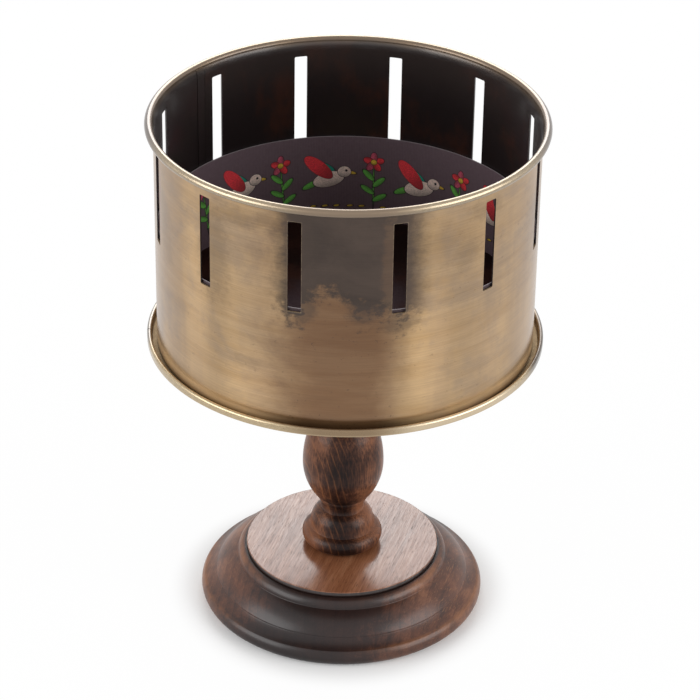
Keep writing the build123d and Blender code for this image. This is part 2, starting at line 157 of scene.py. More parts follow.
# Picture strip
strip_radius = 98.5
strip_thickness = 0.5
strip_foot = foot("picture_strip")
strip_top = top("picture_strip")
strip_joint_angle = 270.0
strip_joint_width = 0.6
rib_pitch = 0.9
frame_shift = 0.5            # share of a frame by which the pictures stand aside from the slots

# Smaller patches of patina on the wall: turn from the front and half width in degrees, height and
# half height in mm, and strength
PATINA_CLOUDS = (
    (-0.5, 3.0, 248, 6, 0.65), (7.0, 5.0, 238, 8, 0.75), (5.0, 4.0, 230, 4, 0.55),
    (15.6, 5.5, 224, 4, 0.45), (-11.5, 3.0, 234, 9, 0.6), (-41, 6, 252, 28, 0.3),
    (-33, 7, 277, 5, 0.3), (-24, 4, 279, 4, 0.25), (36, 6, 256, 8, 0.24), (44, 6, 277, 7, 0.28),
    (29, 5, 266, 9, 0.18), (-66, 5, 240, 16, 0.22), (75, 9, 250, 22, 0.25),
    (112, 18, 262, 20, 0.3), (-125, 14, 255, 26, 0.28), (165, 12, 266, 18, 0.38),
    (-160, 10, 245, 14, 0.25), (140, 9, 205, 9, 0.18), (-95, 9, 268, 13, 0.24),
    (-30, 6, 196, 4, 0.22),
)

# Upright zones of the wall with painted highlight, or painted shade where the gain is negative,
# given in the same way, with their gain
PAINTED_LIGHT_ZONES = (
    (25, 6, 208, 34, 0.26), (-28, 8, 186, 16, 0.24), (-49, 5, 225, 50, 0.2),
    (-40, 4, 230, 55, -0.12), (49, 5, 195, 24, 0.12), (36, 5, 225, 50, -0.06),
)

# -------- profiles, as (radius, height)


def arc(centre, radius, start, end, steps):
    """Points on a circle, from one angle to another."""
    turns = [math.radians(start + (end - start) * i / steps) for i in range(steps + 1)]
    return [(centre[0] + radius * math.cos(t), centre[1] + radius * math.sin(t)) for t in turns]


def arc_through(start, middle, end, steps=16):
    """Points on the arc through three points."""
    (ax, ay), (bx, by), (cx, cy) = start, middle, end
    d = 2 * (ax * (by - cy) + bx * (cy - ay) + cx * (ay - by))
    a2, b2, c2 = ax * ax + ay * ay, bx * bx + by * by, cx * cx + cy * cy
    ux = (a2 * (by - cy) + b2 * (cy - ay) + c2 * (ay - by)) / d
    uy = (a2 * (cx - bx) + b2 * (ax - cx) + c2 * (bx - ax)) / d
    first, halfway, last = (math.atan2(y - uy, x - ux) for x, y in (start, middle, end))
    sweep = (last - first) % math.tau
    if (halfway - first) % math.tau > sweep:
        sweep -= math.tau
    radius = math.hypot(ax - ux, ay - uy)
    return arc((ux, uy), radius, math.degrees(first), math.degrees(first + sweep), steps)


def bulge(start, end, height):
    """Points on an arc that swells out by this height, to the right of its run."""
    run = (end[0] - start[0], end[1] - start[1])
    length = math.hypot(*run)
    middle = ((start[0] + end[0]) / 2 + run[1] / length * height,
              (start[1] + end[1]) / 2 - run[0] / length * height)
    return arc_through(start, middle, end)


def tangent_arc(start, end, steps=24):
    """Points on the arc that leaves start straight up or down and ends at end."""
    run = (end[0] - start[0], end[1] - start[1])
    radius = (run[0] ** 2 + run[1] ** 2) / (2 * run[0])
    centre = (start[0] + radius, start[1])
    first = 180.0 if radius > 0 else 0.0
    last = math.degrees(math.atan2(end[1] - centre[1], end[0] - centre[0]))
    shorter_way = (last - first + 180) % 360 - 180
    return arc(centre, abs(radius), first, first + shorter_way, steps)


def soften(points, size, least_turn=24):
    """Rounds each corner of a closed profile that turns more than least_turn degrees."""
    out = []
    for i, here in enumerate(points):
        before, here, after = map(Vector, (points[i - 1], here, points[(i + 1) % len(points)]))
        into, away = here - before, after - here
        shortest = min(here.x, into.length, away.length)
        if shortest < TINY or math.degrees(into.angle(away)) < least_turn:
            out.append(tuple(here))
            continue
        cut = min(size, 0.4 * into.length, 0.4 * away.length)
        a, b = here - into.normalized() * cut, here + away.normalized() * cut
        for t in (0, 0.25, 0.5, 0.75, 1):
            out.append(tuple(a * (1 - t) ** 2 + here * 2 * t * (1 - t) + b * t * t))
    return out


# -------- meshes


def linked(name, data):
    """A new object of this data, in the scene."""
    made = bpy.data.objects.new(name, data)
    bpy.context.scene.collection.objects.link(made)
    return made


def new_object(name, points, faces, body, slot, material, replaced):
    """A piece of the object from points in mm, on its body, standing for CAD nodes."""
    mesh = bpy.data.meshes.new(name)
    mesh.from_pydata([(x * MM, y * MM, z * MM) for x, y, z in points], [], faces)
    mesh.validate()
    mesh.polygons.foreach_set("use_smooth", [True] * len(mesh.polygons))
    mesh.set_sharp_from_angle(angle=SHARP_ANGLE)
    mesh.update()
    piece = linked(name, mesh)
    mesh.materials.append(material)
    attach(piece, body)
    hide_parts(*replaced)
    return piece


def turned(name, profile, *setting):
    """A closed profile turned once round the axis. Points at radius 0 are shared."""
    points, rows = [], []
    for radius, height in profile:
        if radius < TINY:
            rows.append([len(points)] * RING_STEPS)
            points.append((0, 0, height))
            continue
        rows.append(range(len(points), len(points) + RING_STEPS))
        for step in range(RING_STEPS):
            turn = math.tau * step / RING_STEPS
            points.append((radius * math.cos(turn), radius * math.sin(turn), height))
    faces = []
    for i, row in enumerate(rows):
        following = rows[(i + 1) % len(rows)]
        for step in range(RING_STEPS):
            after = (step + 1) % RING_STEPS
            corners = []
            for index in (row[step], row[after], following[after], following[step]):
                if index not in corners:
                    corners.append(index)
            if len(corners) > 2:
                faces.append(corners)
    return new_object(name, points, faces, *setting)


def spun_sheet(inner, outer, angles, keeps=lambda column, row: True, whole_turn=True):
    """Points and faces of a sheet between two paths of (radius, height), over these angles.

    keeps(column, row) says which cell of the sheet is there: True, False, or the number of one of
    its corners and the share of the cell's width and height at which that corner stands instead.
    """
    points, faces, known = [], [], {}

    def point(side, angle_at, row_at):
        key = (side, round(angle_at, 6), round(row_at, 6))
        if key not in known:
            path = outer if side else inner
            low = min(int(row_at), len(path) - 2)
            up = row_at - low
            radius, height = (a * (1 - up) + b * up for a, b in zip(path[low], path[low + 1]))
            column = int(angle_at)
            first, second = angles[column % len(angles)], angles[(column + 1) % len(angles)]
            turn = math.radians(first + (angle_at - column) * ((second - first) % 360))
            known[key] = len(points)
            points.append((radius * math.cos(turn), radius * math.sin(turn), height))
        return known[key]

    edges = {}
    for column in range(len(angles) - (not whole_turn)):
        right = (column + 1) % len(angles)
        for row in range(len(inner) - 1):
            kept = keeps(column, row)
            if not kept:
                continue
            corners = [(column, row), (right, row), (right, row + 1), (column, row + 1)]
            if kept is not True:
                at, across, up = kept
                corners[at] = (column + across, row + up)
            for side in (0, 1):
                loop = [point(side, a, r) for a, r in corners]
                faces.append(loop if side else loop[::-1])
            for first, second in zip(corners, corners[1:] + corners[:1]):
                if not edges.pop((second, first), False):
                    edges[first, second] = True
    for first, second in edges:
        faces.append([point(1, *second), point(1, *first), point(0, *first), point(0, *second)])
    return points, faces


# -------- material building


class Nodes:
    """Short ways to add the nodes that these finishes need to a node tree."""

    def __init__(self, tree):
        self.tree = tree

    def node(self, kind, inputs, output=0, **settings):
        """An output of a new node, whose inputs are given in their order or by name."""
        node = self.tree.nodes.new("ShaderNode" + kind)
        for name, value in settings.items():
            setattr(node, name, value)
        for name, value in inputs.items() if isinstance(inputs, dict) else enumerate(inputs):
            self.put(node.inputs[name], value)
        return node.outputs[output]

    def find(self, kind):
        return next(node for node in self.tree.nodes if node.type == kind)

    def put(self, socket, value):
        """Links a node's output to a socket, or writes a plain value into it."""
        if isinstance(value, bpy.types.NodeSocket):
            self.tree.links.new(value, socket)
        else:
            socket.default_value = value

    def math(self, operation, *values):
        return self.node("Math", values, operation=operation)

    def times(self, first, *others):
        for other in others:
            first = self.math("MULTIPLY", first, other)
        return first

    def add_up(self, first, *others):
        for other in others:
            first = self.math("ADD", first, other)
        return first

    less = partialmethod(math, "SUBTRACT")
    most = partialmethod(math, "MAXIMUM")
    absolute = partialmethod(math, "ABSOLUTE")
    below = partialmethod(math, "LESS_THAN")
    above = partialmethod(math, "GREATER_THAN")


class Shader(Nodes):
    """A node material, with the place on its piece in mm and degrees."""

    def __init__(self, name):
        self.material = bpy.data.materials.new(name)
        self.material.use_nodes = True
        super().__init__(self.material.node_tree)
        self.bsdf = self.find("BSDF_PRINCIPLED")
        place, normal = (self.node("TexCoord", (), output) for output in ("Object", "Normal"))
        self.place = self.vector("MULTIPLY", place, (1 / MM, 1 / MM, 1 / MM))
        self.x, self.y, self.z = self.split(self.place)
        self.radius = self.root_of_squares(self.x, self.y)
        turn = self.math("ARCTAN2", self.x, self.times(self.y, -1.0))
        self.turn = self.math("DEGREES", turn)       # 0 at the front, growing towards +X
        self.off_front = self.absolute(self.turn)
        outward = self.vector("DIVIDE", self.join(self.x, self.y, 0.0),
                              self.join(self.radius, self.radius, 1.0))
        self.facing_in = self.times(self.dot(normal, outward), -1.0)
        self.facing_up = self.split(normal)[2]

    def root_of_squares(self, a, b):
        return self.math("SQRT", self.add_up(self.times(a, a), self.times(b, b)))

    def vector(self, operation, a, b, output="Vector"):
        return self.node("VectorMath", (a, b), output, operation=operation)

    dot = partialmethod(vector, "DOT_PRODUCT", output="Value")

    def split(self, vector):
        return [self.node("SeparateXYZ", (vector,), axis) for axis in range(3)]

    def join(self, *values):
        return self.node("CombineXYZ", values)

    def noise_at(self, place, detail, roughness, distortion=0.0):
        inputs = {"Vector": place, "Scale": 1.0, "Detail": detail, "Roughness": roughness,
                  "Distortion": distortion}
        return self.node("TexNoise", inputs, "Fac")

    def noise(self, stretch, detail, roughness, offset=(0, 0, 0), distortion=0.0):
        """A noise over the place in mm, moved by the offset and multiplied along each axis."""
        place = self.vector("MULTIPLY", self.vector("ADD", self.place, offset), stretch)
        return self.noise_at(place, detail, roughness, distortion)

    def ramp(self, value, *stops):
        """A colour or grey ramp of (position, colour) stops."""
        node = self.tree.nodes.new("ShaderNodeValToRGB")
        elements = node.color_ramp.elements
        while len(elements) < len(stops):
            elements.new(0.5)
        for element, (position, colour) in zip(elements, stops):
            element.position = position
            if not isinstance(colour, tuple):
                colour = (colour, colour, colour)
            element.color = (*colour, 1)
        self.put(node.inputs[0], value)
        return node.outputs[0]

    def span(self, value, low, high, to_low=0.0, to_high=1.0):
        """Maps low..high smoothly to to_low..to_high, and stays there outside it."""
        inputs = (value, low, high, to_low, to_high)
        return self.node("MapRange", inputs, interpolation_type="SMOOTHSTEP")

    def window(self, value, rise_start, rise_end, fall_start, fall_end):
        """1 from rise_end to fall_start, falling to 0 on both sides."""
        return self.times(self.span(value, rise_start, rise_end),
                          self.span(value, fall_end, fall_start))

    def mix(self, share, a, b, blend="MIX"):
        node = self.tree.nodes.new("ShaderNodeMix")
        node.data_type, node.blend_type = "RGBA", blend
        for name, value in (("Factor_Float", share), ("A_Color", a), ("B_Color", b)):
            socket = next(s for s in node.inputs if s.identifier == name)
            self.put(socket, (*value, 1) if isinstance(value, tuple) else value)
        return next(s for s in node.outputs if s.identifier == "Result_Color")

    def gain(self, colour, amount):
        return self.mix(1.0, colour, self.join(amount, amount, amount), "MULTIPLY")

    def bump(self, height, strength, distance_mm):
        inputs = {"Strength": strength, "Distance": distance_mm * MM, "Height": height}
        return self.node("Bump", inputs)

    def centred(self, value, size):
        """A noise value of 0 to 1, turned into -size/2 to size/2."""
        return self.times(self.less(value, 0.5), size)

    def patch(self, turn, half_turn, height, half_height, ragged):
        """1 in a patch of the wall, falling to 0 over an edge that ragged moves."""
        u = self.math("DIVIDE", self.absolute(self.less(self.turn, turn)), half_turn)
        v = self.math("DIVIDE", self.absolute(self.less(self.z, height)), half_height)
        return self.span(self.add_up(self.root_of_squares(u, v), ragged), 1.5, 0.35)

    def set(self, **values):
        """Sets the shader's sockets, with underscores for spaces in their names."""
        for name, value in values.items():
            if isinstance(value, tuple):
                value = (*value, 1)
            self.put(self.bsdf.inputs[name.replace("_", " ")], value)
        return self.material


# -------- brass, with linear colours

GOLD = (0.43, 0.27, 0.122), (0.5, 0.332, 0.17)
BANDED_GOLD, DULL_GOLD = (0.25, 0.175, 0.125), (0.25, 0.19, 0.145)
FUMED_AND_SHADED = (0.148, 0.066, 0.024), (0.182, 0.092, 0.04)
LOW_FUMED_AND_SHADED, FRECKLE = (0.24, 0.125, 0.055), (0.045, 0.028, 0.02)
PATINA = (0.031, 0.019, 0.014), (0.06, 0.039, 0.029)
FILED_EDGE, CUT_FACE = (0.34, 0.25, 0.16), (0.2, 0.135, 0.075)
RIM = (0.28, 0.215, 0.135), (0.39, 0.31, 0.205)
SIDE_RIM_PAINTED_SHADE, FRONT_RIM_PAINTED_SHADE = (0.17, 0.145, 0.125), (0.21, 0.148, 0.095)
INSIDE = (0.012, 0.0085, 0.0088), (0.042, 0.0145, 0.009)
INSIDE_TOP, LAP_GRIME_AND_SHADE = (0.034, 0.025, 0.022), (0.003, 0.002, 0.002)
INSIDE_BARE = (0.17, 0.115, 0.07)
LACQUER_TINT = (0.72, 0.68, 0.68)
LIP = (0.38, 0.29, 0.17), (0.52, 0.41, 0.26)
LIP_PAINTED_HIGHLIGHT, FRONT_LIP_PAINTED_SHADE = (0.58, 0.47, 0.32), (0.25, 0.17, 0.095)
LEFT_LIP_PAINTED_SHADE, RIGHT_LIP_PAINTED_SHADE = (0.27, 0.24, 0.21), (0.09, 0.065, 0.045)
LIP_EDGE, CHANNEL = (0.5, 0.38, 0.24), (0.3, 0.22, 0.13)
PAN_FLOOR = (0.02, 0.01, 0.009), (0.045, 0.018, 0.013)
PAN_MIDDLE_PAINTED_LIGHT = (0.07, 0.046, 0.052)
UNDERSIDE = (0.09, 0.06, 0.035), (0.22, 0.15, 0.08)


class WallShader(Shader):
    """The wall's material, with the noises that its tones share, and the distance round the
    wall from the nearest slot's side, negative within its width."""

    def __init__(self, name):
        super().__init__(name)
        self.brushing = self.noise((0.03, 0.03, 2.2), 5, 0.75)
        self.smears = self.noise((0.012, 0.012, 0.09), 6, 0.6, (11, 5, 0), 0.4)
        self.clouds = self.noise((0.022, 0.022, 0.026), 6, 0.62, (3, 0, 9), 0.5)
        self.crumbs = self.noise((0.1, 0.1, 0.16), 8, 0.68)
        self.grit = self.noise((0.32, 0.32, 0.42), 6, 0.66, (5, 5, 5))
        self.ragged = self.add_up(self.centred(self.crumbs, 2.6), self.centred(self.grit, 1.2))
        pitch = 360 / slot_count
        slot_share = (slot_first_angle + 90) % pitch / pitch
        share = self.math("FRACT", self.add_up(self.times(self.turn, 1 / pitch), 0.5 - slot_share))
        off_slot = self.times(self.absolute(self.centred(share, pitch)), math.radians(wall_radius))
        self.beside = self.less(off_slot, slot_width / 2)


def wall_gold(s):
    """Polished gold with duller clouds, more of them near the slots, and soft upright bands."""
    bands = s.noise((0.045, 0.045, 0.006), 3, 0.55, (4, 9, 0))
    colour = s.mix(s.span(s.smears, 0.34, 0.64), *GOLD)
    colour = s.mix(s.span(bands, 0.38, 0.62), s.mix(0.25, colour, BANDED_GOLD), colour)
    higher = s.span(s.z, 205, 270, 0, 0.05)
    dull = s.span(s.add_up(s.clouds, s.centred(s.crumbs, 0.3), higher), 0.47, 0.7)
    return s.mix(s.times(dull, 0.4), colour, DULL_GOLD)


def wall_fumed_and_shaded(s, colour):
    """Fumed brown down the middle of the front, partly painted shade, and more faintly behind, with
    dark freckles.
    """
    # the front's brown is partly fumed brass and partly painted shade
    wander = s.centred(s.clouds, 1)
    left_side = s.span(s.add_up(s.turn, s.times(wander, 30)), -31, -8)
    right_side = s.span(s.add_up(s.turn, s.times(wander, -16)), 23, 9)
    behind = s.times(s.span(s.clouds, 0.42, 0.72), s.span(s.off_front, 85, 130, 0, 0.62))
    brown = s.most(s.times(left_side, right_side), behind)
    fumed_and_shaded = s.mix(s.span(s.smears, 0.38, 0.62), *FUMED_AND_SHADED)
    fumed_and_shaded = s.mix(s.span(s.z, 215, 182, 0, 0.35), fumed_and_shaded, LOW_FUMED_AND_SHADED)
    colour = s.mix(s.times(brown, 0.94), colour, fumed_and_shaded)
    freckles = s.span(s.noise((0.3, 0.3, 0.42), 6, 0.7, (2, 8, 4)), 0.61, 0.69)
    return s.mix(s.times(freckles, s.span(brown, 0, 1, 0.25, 0.6)), colour, FRECKLE)


def wall_painted_light(s):
    """The gain on the wall's tones, which is painted light: highlight and shade in upright bands,
    light at the sides and shade in front just above the lip, and shade at the very foot; and how
    near the lip each place is.
    """
    painted_light = 1
    # each zone adds a painted highlight, or painted shade where its gain is negative
    for *zone, gain in PAINTED_LIGHT_ZONES:
        share = s.patch(*zone, s.centred(s.clouds, 1))
        painted_light = s.add_up(s.times(share, gain), painted_light)
    shade_height = s.span(s.off_front, 15, 65, 7, 9.5)
    near_lip = s.span(s.math("DIVIDE", s.less(s.z, wall_foot), shade_height), 1, 0.5)
    # painted light at the sides and painted shade in front, on the wall just above the lip
    painted_foot_light_and_shade = s.times(near_lip, s.span(s.off_front, 10, 34, -0.52, 0.5))
    # painted shade in the channel at the wall's very foot
    painted_foot_shade = s.span(s.z, wall_foot + 2.2, wall_foot + 0.3, 1, 0.3)
    return s.times(painted_light, s.add_up(painted_foot_light_and_shade, 1), painted_foot_shade), near_lip


def wall_patina(s):
    """Grey-brown patina between the front slots, soft at its sides and ragged at its foot."""
    rag = s.add_up(s.centred(s.crumbs, 46), s.centred(s.grit, 22), s.centred(s.clouds, 20))
    middle_rise = s.times(s.span(s.absolute(s.add_up(s.turn, 5)), 9.5, 1), 13)
    foot_level = s.add_up(slot_foot_z, middle_rise, s.times(s.span(s.beside, 3, 0), -4))
    above_foot = s.less(s.add_up(s.z, rag), foot_level)
    sides = s.window(s.add_up(s.turn, s.times(rag, 0.15)), -24.5, -15, 16.5, 27)
    lighter = s.patch(12.3, 2.2, (slot_foot_z + slot_top_z) / 2, 30, s.ragged)
    patina = s.times(s.span(above_foot, -9, 6), sides, s.span(lighter, 0, 1, 1, 0.72))
    for *cloud, strength in PATINA_CLOUDS:
        patina = s.most(patina, s.times(s.patch(*cloud, s.ragged), strength))
    return patina


def filed_edges(s):
    """1 in a fine, broken line round each slot, where its edge is filed bare."""
    over = s.most(s.less(slot_foot_z, s.z), s.less(s.z, slot_top_z))
    return s.times(s.span(s.most(s.beside, over), 0.4, 0.05),
                   s.span(s.grit, 0.4, 0.6, 0.15, 0.55))


def wall_rim(s):
    """Where the rolled rim is, and its colour, polished by hands, with painted shade at its front
    and far sides.
    """
    grain = s.noise((0.5, 0.5, 3), 5, 0.7)
    rim = s.mix(s.span(grain, 0.35, 0.65), *RIM)
    # painted shade at the rim's far sides and front
    rim = s.mix(s.window(s.off_front, 57, 80, 96, 118), rim, SIDE_RIM_PAINTED_SHADE)
    rim = s.mix(s.span(s.off_front, 26, 9), rim, FRONT_RIM_PAINTED_SHADE)
    rim_foot = rim_centre_z - rim_roll
    on_rim = s.times(s.span(s.z, rim_foot - 0.2, rim_foot + 0.5),
                     s.span(s.radius, wall_radius + 0.35, wall_radius + 0.9))
    return on_rim, rim


def wall_inside(s):
    """Where the wall's inside is, how bare its brass is, and its colour: near black, with red-brown
    stains, a little brass left under the rim, and a dark line along the lap seam, part grime and
    part painted shade of the lap's edge."""
    stains = s.span(s.noise((0.035, 0.035, 0.02), 6, 0.65, (7, 1, 2)), 0.5, 0.68)
    dark = s.mix(s.times(stains, 0.8), *INSIDE)
    dark = s.mix(s.span(s.z, rim_centre_z - 34, rim_centre_z - 3, 0, 0.5), dark, INSIDE_TOP)
    rim_centre = wall_inner + rim_flare + rim_roll
    inward = s.span(s.radius, rim_centre - 0.2, rim_centre - 1.1)
    inside = s.times(s.below(s.radius, wall_radius - 0.2), s.below(s.z, rim_centre_z - 4))
    inside = s.most(inside, s.times(inward, s.above(s.facing_in, 0)))
    bare_height = s.add_up(s.z, s.centred(s.clouds, 5))
    bare = s.span(bare_height, rim_centre_z - 3, rim_centre_z + 2.4)
    lap_turn = lap_angle + 90 - 360
    # dark line along the lap's edge: seam grime and painted shade of the lap's step
    lap_grime_and_shade = s.span(s.absolute(s.less(s.turn, lap_turn)), 0.45, 0.15)
    dark = s.mix(s.times(lap_grime_and_shade, 0.8), dark, LAP_GRIME_AND_SHADE)
    return inside, bare, s.mix(bare, dark, INSIDE_BARE)


def brass_wall():
    """Antiqued brass sheet, brushed round the drum, with gold, brown and grey clouds outside, and
    painted highlights and shade: upright bands, part of the front's brown, and the wall's foot.
    """
    s = WallShader("antique_brass_wall")
    painted_light, near_lip = wall_painted_light(s)
    patina = wall_patina(s)
    on_rim, rim = wall_rim(s)
    inside, bare, inside_colour = wall_inside(s)
    cut_face = s.times(s.above(s.facing_up, 0.6), s.below(s.z, slot_foot_z + 1))

    # the gain carries the painted highlights and shade
    colour = s.gain(wall_fumed_and_shaded(s, wall_gold(s)), painted_light)
    colour = s.mix(s.times(patina, 0.93), colour, s.mix(s.span(s.clouds, 0.35, 0.65), *PATINA))
    colour = s.gain(colour, s.span(s.brushing, 0.25, 0.75, 0.86, 1.12))
    colour = s.mix(filed_edges(s), colour, FILED_EDGE)
    colour = s.mix(on_rim, colour, rim)
    colour = s.mix(inside, colour, inside_colour)
    colour = s.mix(cut_face, colour, CUT_FACE)

    metal = s.times(s.less(1, s.times(inside, s.less(1, bare))),
                    s.span(on_rim, 0, 1, 1, 0.9), s.span(near_lip, 0, 1, 1, 0.35))
    rough = s.add_up(s.span(s.brushing, 0.2, 0.8, 0.3, 0.44), s.times(patina, 0.05),
                     s.times(on_rim, -0.1), s.times(cut_face, 0.3))
    lacquer = s.times(s.less(1, cut_face), s.span(on_rim, 0, 1, 0.75, 1))
    scratches = s.noise((0.25, 0.25, 9), 2, 0.6, (3, 7, 1))
    round_axis = s.node("Tangent", (), direction_type="RADIAL", axis="Z")
    return s.set(Base_Color=colour, Metallic=metal, Roughness=rough, Anisotropic=0.55,
                 Tangent=round_axis, Specular_Tint=LACQUER_TINT, Coat_Roughness=0.2,
                 Coat_Weight=lacquer, Normal=s.bump(scratches, 0.2, 0.02))


def pan_lip(s, grain):
    """The lip's colour: polished, with a painted highlight either side of the front, and painted
    shade in front and at its far sides.
    """
    lip = s.mix(s.span(grain, 0.35, 0.65), *LIP)
    # painted highlight beside the front, then painted shade in front and at the far sides
    lip = s.mix(s.window(s.turn, 6, 22, 50, 62), lip, LIP_PAINTED_HIGHLIGHT)
    lip = s.mix(s.span(s.off_front, 22, 6), lip, FRONT_LIP_PAINTED_SHADE)
    lip = s.mix(s.window(s.turn, 61, 72, 95, 115), lip, RIGHT_LIP_PAINTED_SHADE)
    lip = s.mix(s.window(s.turn, -115, -95, -84, -74), lip, LEFT_LIP_PAINTED_SHADE)
    edge_z = pan_foot + lip_drop
    return s.mix(s.times(s.span(s.z, edge_z + 1, edge_z), 0.6), lip, LIP_EDGE)


def brass_pan():
    """The pan: polished lip, dark channel, stained floor inside with painted light towards its
    middle, and dull underside.
    """
    s = Shader("antique_brass_pan")
    grain = s.noise((0.5, 0.5, 3), 5, 0.7, (4, 4, 0))
    clouds = s.noise((0.03, 0.03, 0.03), 6, 0.6, (1, 6, 3))
    spin = s.noise_at(s.join(0, 0, s.times(s.radius, 1.6)), 4, 0.7)
    hem_inner = lip_radius - hem_width
    channel = s.span(s.radius, hem_inner + 0.75, hem_inner + 0.25)
    on_floor = s.span(s.z, floor_z - 0.5, floor_z - 0.2)
    below = s.times(s.below(s.facing_up, -0.3), s.below(s.radius, skirt_radius - 0.3))
    bare = s.most(s.less(1, s.most(channel, on_floor)), below)

    floor = s.mix(s.span(clouds, 0.42, 0.6), *PAN_FLOOR)
    # painted light and reflection on the floor towards its middle
    floor = s.mix(s.span(s.add_up(s.radius, s.centred(clouds, 60)), 50, 14), floor, PAN_MIDDLE_PAINTED_LIGHT)
    mottle = s.add_up(s.times(spin, 0.5), s.times(clouds, 0.5))
    under = s.mix(s.span(mottle, 0.4, 0.6), *UNDERSIDE)
    colour = s.mix(channel, pan_lip(s, grain), CHANNEL)
    colour = s.mix(on_floor, colour, floor)
    colour = s.mix(below, colour, under)
    rough = s.add_up(s.span(grain, 0.2, 0.8, 0.24, 0.38), s.span(bare, 0, 1, 0.3, 0))
    return s.set(Base_Color=colour, Metallic=s.most(s.times(bare, 0.9), channel), Roughness=rough,
                 Coat_Weight=s.times(bare, 0.6), Coat_Roughness=0.1)


# -------- wood, with linear colours and ramps

STEM = (0.36, (0.009, 0.004, 0.0036)), (0.5, (0.042, 0.0165, 0.011)), (0.66, (0.175, 0.07, 0.036))
STEM_PORE = (0.008, 0.005, 0.004)
STEM_RING, STEM_SIDE = (0.27, 0.102, 0.038), (0.25, 0.095, 0.042)
BASE = ((0.22, (0.011, 0.006, 0.006)), (0.38, (0.026, 0.012, 0.0102)),
        (0.52, (0.115, 0.044, 0.025)), (0.65, (0.3, 0.13, 0.068)))
BASE_FLECK, BASE_WORN = (0.26, 0.12, 0.055), (0.28, 0.115, 0.045)
BASE_GROOVE_PAINTED_SHADE, DISC_EDGE_PAINTED_SHADE = (0.012, 0.006, 0.005), (0.02, 0.01, 0.008)
DISC = (0.34, (0.13, 0.046, 0.022)), (0.52, (0.245, 0.092, 0.042)), (0.68, (0.36, 0.165, 0.085))
DISC_PORE = (0.05, 0.019, 0.01)


def wood_figure(s, across, pitch, wander, seed, scale):
    """Growth rings cut by the surface: 0 at a ring's start, 1 at its end."""
    warp = s.centred(s.noise((scale, scale, scale), 3, 0.5, seed), wander)
    far_off = 400          # keeps every place on the same side of the tree's middle
    depth = s.add_up(s.dot(s.place, across), warp, far_off)
    return s.math("FRACT", s.math("DIVIDE", depth, pitch))


def walnut_stem():
    """Gloss dark stain on a stem turned along the grain. The rings make ovals where it swells. Its
    front is darker and its flanks lighter as painted shade and light.
    """
    s = Shader("walnut_stem")
    towards, tilt = math.radians(-72), 0.28
    across = (math.sin(towards), -math.cos(towards), -tilt)
    ring = wood_figure(s, across, 3.4, 6.5, (5, 2, 8), 0.035)
    fibres = s.noise((1.3, 1.3, 0.07), 5, 0.65)
    clouds = s.noise((0.045, 0.045, 0.045), 5, 0.62, (2, 3, 4))
    breaks = s.noise((0.16, 0.16, 0.08), 4, 0.6, (8, 8, 1))
    pores = s.span(s.noise((2.2, 2.2, 0.28), 3, 0.6, (9, 0, 0)), 0.64, 0.74)
    # painted shade down the stem's front and painted light on its flanks
    painted_flank_light_and_front_shade = s.span(s.off_front, 8, 50, -0.095, 0.08)
    colour = s.ramp(s.add_up(s.times(fibres, 0.42), s.times(clouds, 0.75), -0.08, painted_flank_light_and_front_shade),
                    *STEM)
    line = s.ramp(ring, (0, 0.45), (0.05, 1), (0.12, 0.22), (0.35, 0), (0.92, 0.08),
                  (1, 0.45))
    strength = s.times(s.span(clouds, 0.36, 0.6, 0.35, 0.95), s.span(breaks, 0.36, 0.58, 0.25, 1),
                       s.span(s.turn, 25, -25, 0.12, 0.8))
    colour = s.mix(s.times(line, strength), colour, STEM_RING)
    warm_side = s.times(s.span(s.turn, 5, 60), s.span(clouds, 0.35, 0.6, 0.35, 1),
                        s.span(fibres, 0.4, 0.62, 0.15, 0.75))
    colour = s.mix(warm_side, colour, STEM_SIDE)
    colour = s.mix(s.times(pores, 0.55), colour, STEM_PORE)
    return s.set(Base_Color=colour, Roughness=s.span(fibres, 0.3, 0.7, 0.3, 0.42),
                 Specular_IOR_Level=0.08, Coat_Weight=0.2, Coat_Roughness=0.24,
                 Normal=s.bump(fibres, 0.12, 0.05))


def board_grain(s):
    """The base's board: its growth rings, and the place along and across its fibres in mm."""
    heading, tilt = math.radians(74), 0.22
    along = (math.cos(heading), math.sin(heading), 0)
    across = (math.sin(heading), -math.cos(heading), 0)
    ring = wood_figure(s, (*across[:2], tilt), 5.5, 6, (1, 7, 3), 0.03)
    return ring, s.dot(s.place, along), s.dot(s.place, across)


def worn_edges(s):
    """1 where the base's ring and bevel turn a corner that hands and cloths rub."""
    crests = 0
    for crest in (ring_inner + 0.6 * ring_width, plinth_radius - nose_overhang):
        crests = s.most(crests, s.span(s.absolute(s.less(s.radius, crest)), 1.8, 0.2))
    return crests


